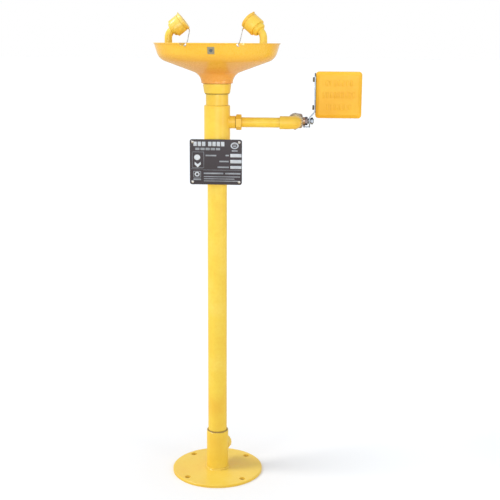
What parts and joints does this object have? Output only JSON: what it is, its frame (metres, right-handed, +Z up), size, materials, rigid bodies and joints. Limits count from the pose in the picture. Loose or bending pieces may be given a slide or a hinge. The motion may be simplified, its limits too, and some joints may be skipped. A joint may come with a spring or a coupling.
{
  "type": "pedestal eyewash station",
  "caption": "Floor-standing emergency eyewash: waste column with flanged foot, shallow bowl, twin capped spray heads and a push-plate valve on a side branch.",
  "frame": {"origin": "the column's axis at floor level, at the centre of the anchor holes", "axes": "+Z up, +X along the supply branch towards the push plate, +Y to the back, where the supply pipe joins"},
  "size_m": [0.444, 0.268, 1.0319],
  "materials": {
    "lemon_paint": "glossy lemon-yellow enamel over welded steel pipe",
    "bowl_plastic": "glossy moulded ABS, warm yellow",
    "head_plastic": "glossy moulded ABS",
    "cap_plastic": "glossy moulded ABS",
    "plate_paint": "satin yellow enamel on pressed steel",
    "rubber": "brown rubber",
    "stainless": "brushed stainless steel",
    "bead_chain": "plated bead chain",
    "lever_steel": "zinc-plated strip",
    "nut_steel": "zinc-plated nut",
    "bolt_steel": "dull zinc-plated fastener",
    "valve_brass": "dull nickel-plated brass with the brass showing through",
    "gland_steel": "dark plated steel",
    "ball_chrome": "hard-chromed ball",
    "seat_plastic": "white PTFE and acetal",
    "sign_print": "dark printed aluminium sheet with pale blank marks",
    "foil": "plain foil label"
  },
  "bodies": {
    "stand": {"base_flange": "lemon_paint", "outlet_tee": "lemon_paint", "column_pipe": "lemon_paint", "branch_tee": "lemon_paint", "neck_pipe": "lemon_paint", "bowl_collar": "lemon_paint", "left_arm": "lemon_paint", "right_arm": "lemon_paint", "left_arm_nut": "lemon_paint", "right_arm_nut": "lemon_paint", "branch_locknut": "lemon_paint", "branch_pipe": "lemon_paint", "branch_elbow": "lemon_paint", "sign_backing": "lemon_paint", "sign_clamps": "lemon_paint", "bowl": "bowl_plastic", "spray_manifold": "head_plastic", "left_spray_head": "head_plastic", "right_spray_head": "head_plastic", "collar_seal": "rubber", "bowl_gasket": "rubber", "left_head_seal": "rubber", "right_head_seal": "rubber", "branch_gasket": "rubber", "drain_strainer": "stainless", "strainer_screws": "stainless", "supply_riser": "stainless", "sign_screws": "stainless", "left_tether_clip": "stainless", "right_tether_clip": "stainless", "left_tether": "bead_chain", "right_tether": "bead_chain", "valve_body": "valve_brass", "valve_end": "valve_brass", "inner_elbow": "valve_brass", "packing_gland": "gland_steel", "valve_seats": "seat_plastic", "stem_packing": "seat_plastic", "left_filter": "seat_plastic", "right_filter": "seat_plastic", "left_spray_disc": "seat_plastic", "right_spray_disc": "seat_plastic", "sign_plate": "sign_print", "bowl_sticker": "foil"},
    "valve_lever": {"push_lever": "lever_steel", "lever_washer": "lever_steel", "lever_nut": "nut_steel", "valve_stem": "lever_steel", "valve_ball": "ball_chrome", "push_plate": "plate_paint", "plate_bolts": "bolt_steel", "plate_nuts": "bolt_steel"},
    "left_cap": {"left_dust_cap": "cap_plastic"},
    "right_cap": {"right_dust_cap": "cap_plastic"}
  },
  "joints": [
    {"name": "push_to_open", "type": "hinge", "parent": "stand", "child": "valve_lever", "pos_m": [0.197, 0.052, 0.801], "axis": [-1, 0, 0], "range_deg": [0, 90]},
    {"name": "left_cap_pull", "type": "slide", "parent": "stand", "child": "left_cap", "axis": [0.7826, 0, 0.6225], "range_m": [0, 0.03], "deforming": ["left_tether"]},
    {"name": "right_cap_pull", "type": "slide", "parent": "stand", "child": "right_cap", "axis": [-0.7149, 0.3183, 0.6225], "range_m": [0, 0.03], "deforming": ["right_tether"]}
  ]
}
